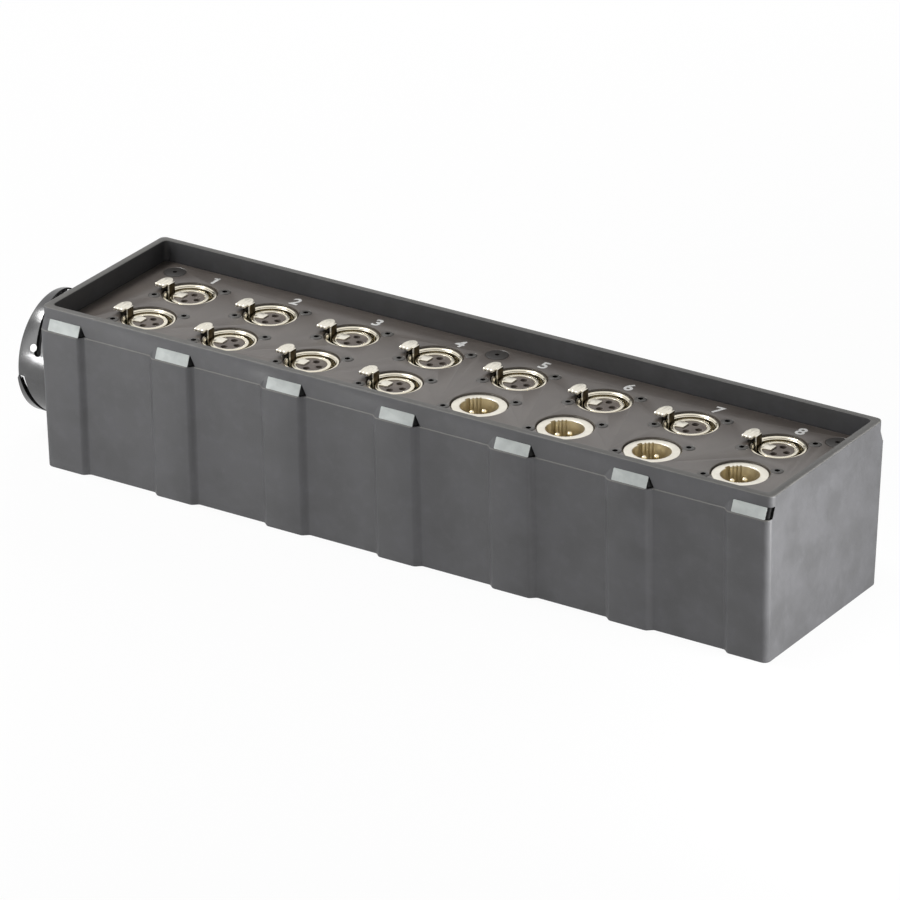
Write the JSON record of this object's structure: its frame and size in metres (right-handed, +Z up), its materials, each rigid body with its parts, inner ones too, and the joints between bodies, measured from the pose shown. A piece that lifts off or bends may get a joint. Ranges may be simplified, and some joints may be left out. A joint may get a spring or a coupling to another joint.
{
  "type": "stage box snake",
  "caption": "Low rubber stage box with a recessed panel of round audio sockets, sprung latches, and a round multipin socket with a turning coupling ring on one end.",
  "frame": {"origin": "middle of the flat base the box stands on", "axes": "+Z up; +X along the box to its plain end, so the multipin socket is on the -X end; -Y is the side whose row holds the male sockets"},
  "size_m": [0.3884, 0.0964, 0.0753],
  "materials": {
    "housing_rubber": "matt moulded",
    "panel_plate": "fine satin",
    "black_screw": "satin black",
    "nickel_shell": "bright nickel",
    "nickel_latch": "satin nickel",
    "insulator": "matt moulded",
    "pin_insert": "matt",
    "seal_rubber": "matt",
    "black_shell": "satin black",
    "coupling_black": "gloss black",
    "cable_sheath": "matt"
  },
  "bodies": {
    "root": {"rubber_housing": "housing_rubber", "connector_panel": "panel_plate", "panel_screw_1": "black_screw", "panel_screw_2": "black_screw", "panel_screw_3": "black_screw", "panel_screw_4": "black_screw", "panel_screw_5": "black_screw", "panel_screw_6": "black_screw", "female_shell_rear_1": "nickel_shell", "female_insert_rear_1": "insulator", "female_shell_front_1": "nickel_shell", "female_insert_front_1": "insulator", "female_shell_rear_2": "nickel_shell", "female_insert_rear_2": "insulator", "female_shell_front_2": "nickel_shell", "female_insert_front_2": "insulator", "female_shell_rear_3": "nickel_shell", "female_insert_rear_3": "insulator", "female_shell_front_3": "nickel_shell", "female_insert_front_3": "insulator", "female_shell_rear_4": "nickel_shell", "female_insert_rear_4": "insulator", "female_shell_front_4": "nickel_shell", "female_insert_front_4": "insulator", "female_shell_rear_5": "nickel_shell", "female_insert_rear_5": "insulator", "male_shell_front_5": "nickel_shell", "male_insert_front_5": "pin_insert", "female_shell_rear_6": "nickel_shell", "female_insert_rear_6": "insulator", "male_shell_front_6": "nickel_shell", "male_insert_front_6": "pin_insert", "female_shell_rear_7": "nickel_shell", "female_insert_rear_7": "insulator", "male_shell_front_7": "nickel_shell", "male_insert_front_7": "pin_insert", "female_shell_rear_8": "nickel_shell", "female_insert_rear_8": "insulator", "male_shell_front_8": "nickel_shell", "male_insert_front_8": "pin_insert", "multipin_gasket": "seal_rubber", "multipin_shell": "black_shell", "multipin_insert": "insulator", "multipin_snap_ring": "black_screw", "multipin_lock_nut": "black_screw", "wiring_loom": "cable_sheath"},
    "latch_rear_1": {"latch_rear_1": "nickel_latch"},
    "latch_front_1": {"latch_front_1": "nickel_latch"},
    "latch_rear_2": {"latch_rear_2": "nickel_latch"},
    "latch_front_2": {"latch_front_2": "nickel_latch"},
    "latch_rear_3": {"latch_rear_3": "nickel_latch"},
    "latch_front_3": {"latch_front_3": "nickel_latch"},
    "latch_rear_4": {"latch_rear_4": "nickel_latch"},
    "latch_front_4": {"latch_front_4": "nickel_latch"},
    "latch_rear_5": {"latch_rear_5": "nickel_latch"},
    "latch_rear_6": {"latch_rear_6": "nickel_latch"},
    "latch_rear_7": {"latch_rear_7": "nickel_latch"},
    "latch_rear_8": {"latch_rear_8": "nickel_latch"},
    "coupling_ring": {"multipin_coupling_ring": "coupling_black"}
  },
  "joints": [
    {"name": "latch_rear_1_press", "type": "hinge", "parent": "root", "child": "latch_rear_1", "pos_m": [-0.15745, 0.0174, 0.0556], "axis": [0, -1, 0], "range_deg": [0, 8], "stiffness_Nm_per_rad": 0.02, "springref_deg": -5.73},
    {"name": "latch_front_1_press", "type": "hinge", "parent": "root", "child": "latch_front_1", "pos_m": [-0.15745, -0.014, 0.0556], "axis": [0, -1, 0], "range_deg": [0, 8], "stiffness_Nm_per_rad": 0.02, "springref_deg": -5.73},
    {"name": "latch_rear_2_press", "type": "hinge", "parent": "root", "child": "latch_rear_2", "pos_m": [-0.11545, 0.0174, 0.0556], "axis": [0, -1, 0], "range_deg": [0, 8], "stiffness_Nm_per_rad": 0.02, "springref_deg": -5.73},
    {"name": "latch_front_2_press", "type": "hinge", "parent": "root", "child": "latch_front_2", "pos_m": [-0.11545, -0.014, 0.0556], "axis": [0, -1, 0], "range_deg": [0, 8], "stiffness_Nm_per_rad": 0.02, "springref_deg": -5.73},
    {"name": "latch_rear_3_press", "type": "hinge", "parent": "root", "child": "latch_rear_3", "pos_m": [-0.07345, 0.0174, 0.0556], "axis": [0, -1, 0], "range_deg": [0, 8], "stiffness_Nm_per_rad": 0.02, "springref_deg": -5.73},
    {"name": "latch_front_3_press", "type": "hinge", "parent": "root", "child": "latch_front_3", "pos_m": [-0.07345, -0.014, 0.0556], "axis": [0, -1, 0], "range_deg": [0, 8], "stiffness_Nm_per_rad": 0.02, "springref_deg": -5.73},
    {"name": "latch_rear_4_press", "type": "hinge", "parent": "root", "child": "latch_rear_4", "pos_m": [-0.03145, 0.0174, 0.0556], "axis": [0, -1, 0], "range_deg": [0, 8], "stiffness_Nm_per_rad": 0.02, "springref_deg": -5.73},
    {"name": "latch_front_4_press", "type": "hinge", "parent": "root", "child": "latch_front_4", "pos_m": [-0.03145, -0.014, 0.0556], "axis": [0, -1, 0], "range_deg": [0, 8], "stiffness_Nm_per_rad": 0.02, "springref_deg": -5.73},
    {"name": "latch_rear_5_press", "type": "hinge", "parent": "root", "child": "latch_rear_5", "pos_m": [0.01055, 0.0174, 0.0556], "axis": [0, -1, 0], "range_deg": [0, 8], "stiffness_Nm_per_rad": 0.02, "springref_deg": -5.73},
    {"name": "latch_rear_6_press", "type": "hinge", "parent": "root", "child": "latch_rear_6", "pos_m": [0.05255, 0.0174, 0.0556], "axis": [0, -1, 0], "range_deg": [0, 8], "stiffness_Nm_per_rad": 0.02, "springref_deg": -5.73},
    {"name": "latch_rear_7_press", "type": "hinge", "parent": "root", "child": "latch_rear_7", "pos_m": [0.09455, 0.0174, 0.0556], "axis": [0, -1, 0], "range_deg": [0, 8], "stiffness_Nm_per_rad": 0.02, "springref_deg": -5.73},
    {"name": "latch_rear_8_press", "type": "hinge", "parent": "root", "child": "latch_rear_8", "pos_m": [0.13655, 0.0174, 0.0556], "axis": [0, -1, 0], "range_deg": [0, 8], "stiffness_Nm_per_rad": 0.02, "springref_deg": -5.73},
    {"name": "coupling_ring_turn", "type": "hinge", "parent": "root", "child": "coupling_ring", "pos_m": [-0.19508, 0, 0.032], "axis": [-1, 0, 0], "range_deg": [0, 95]}
  ]
}
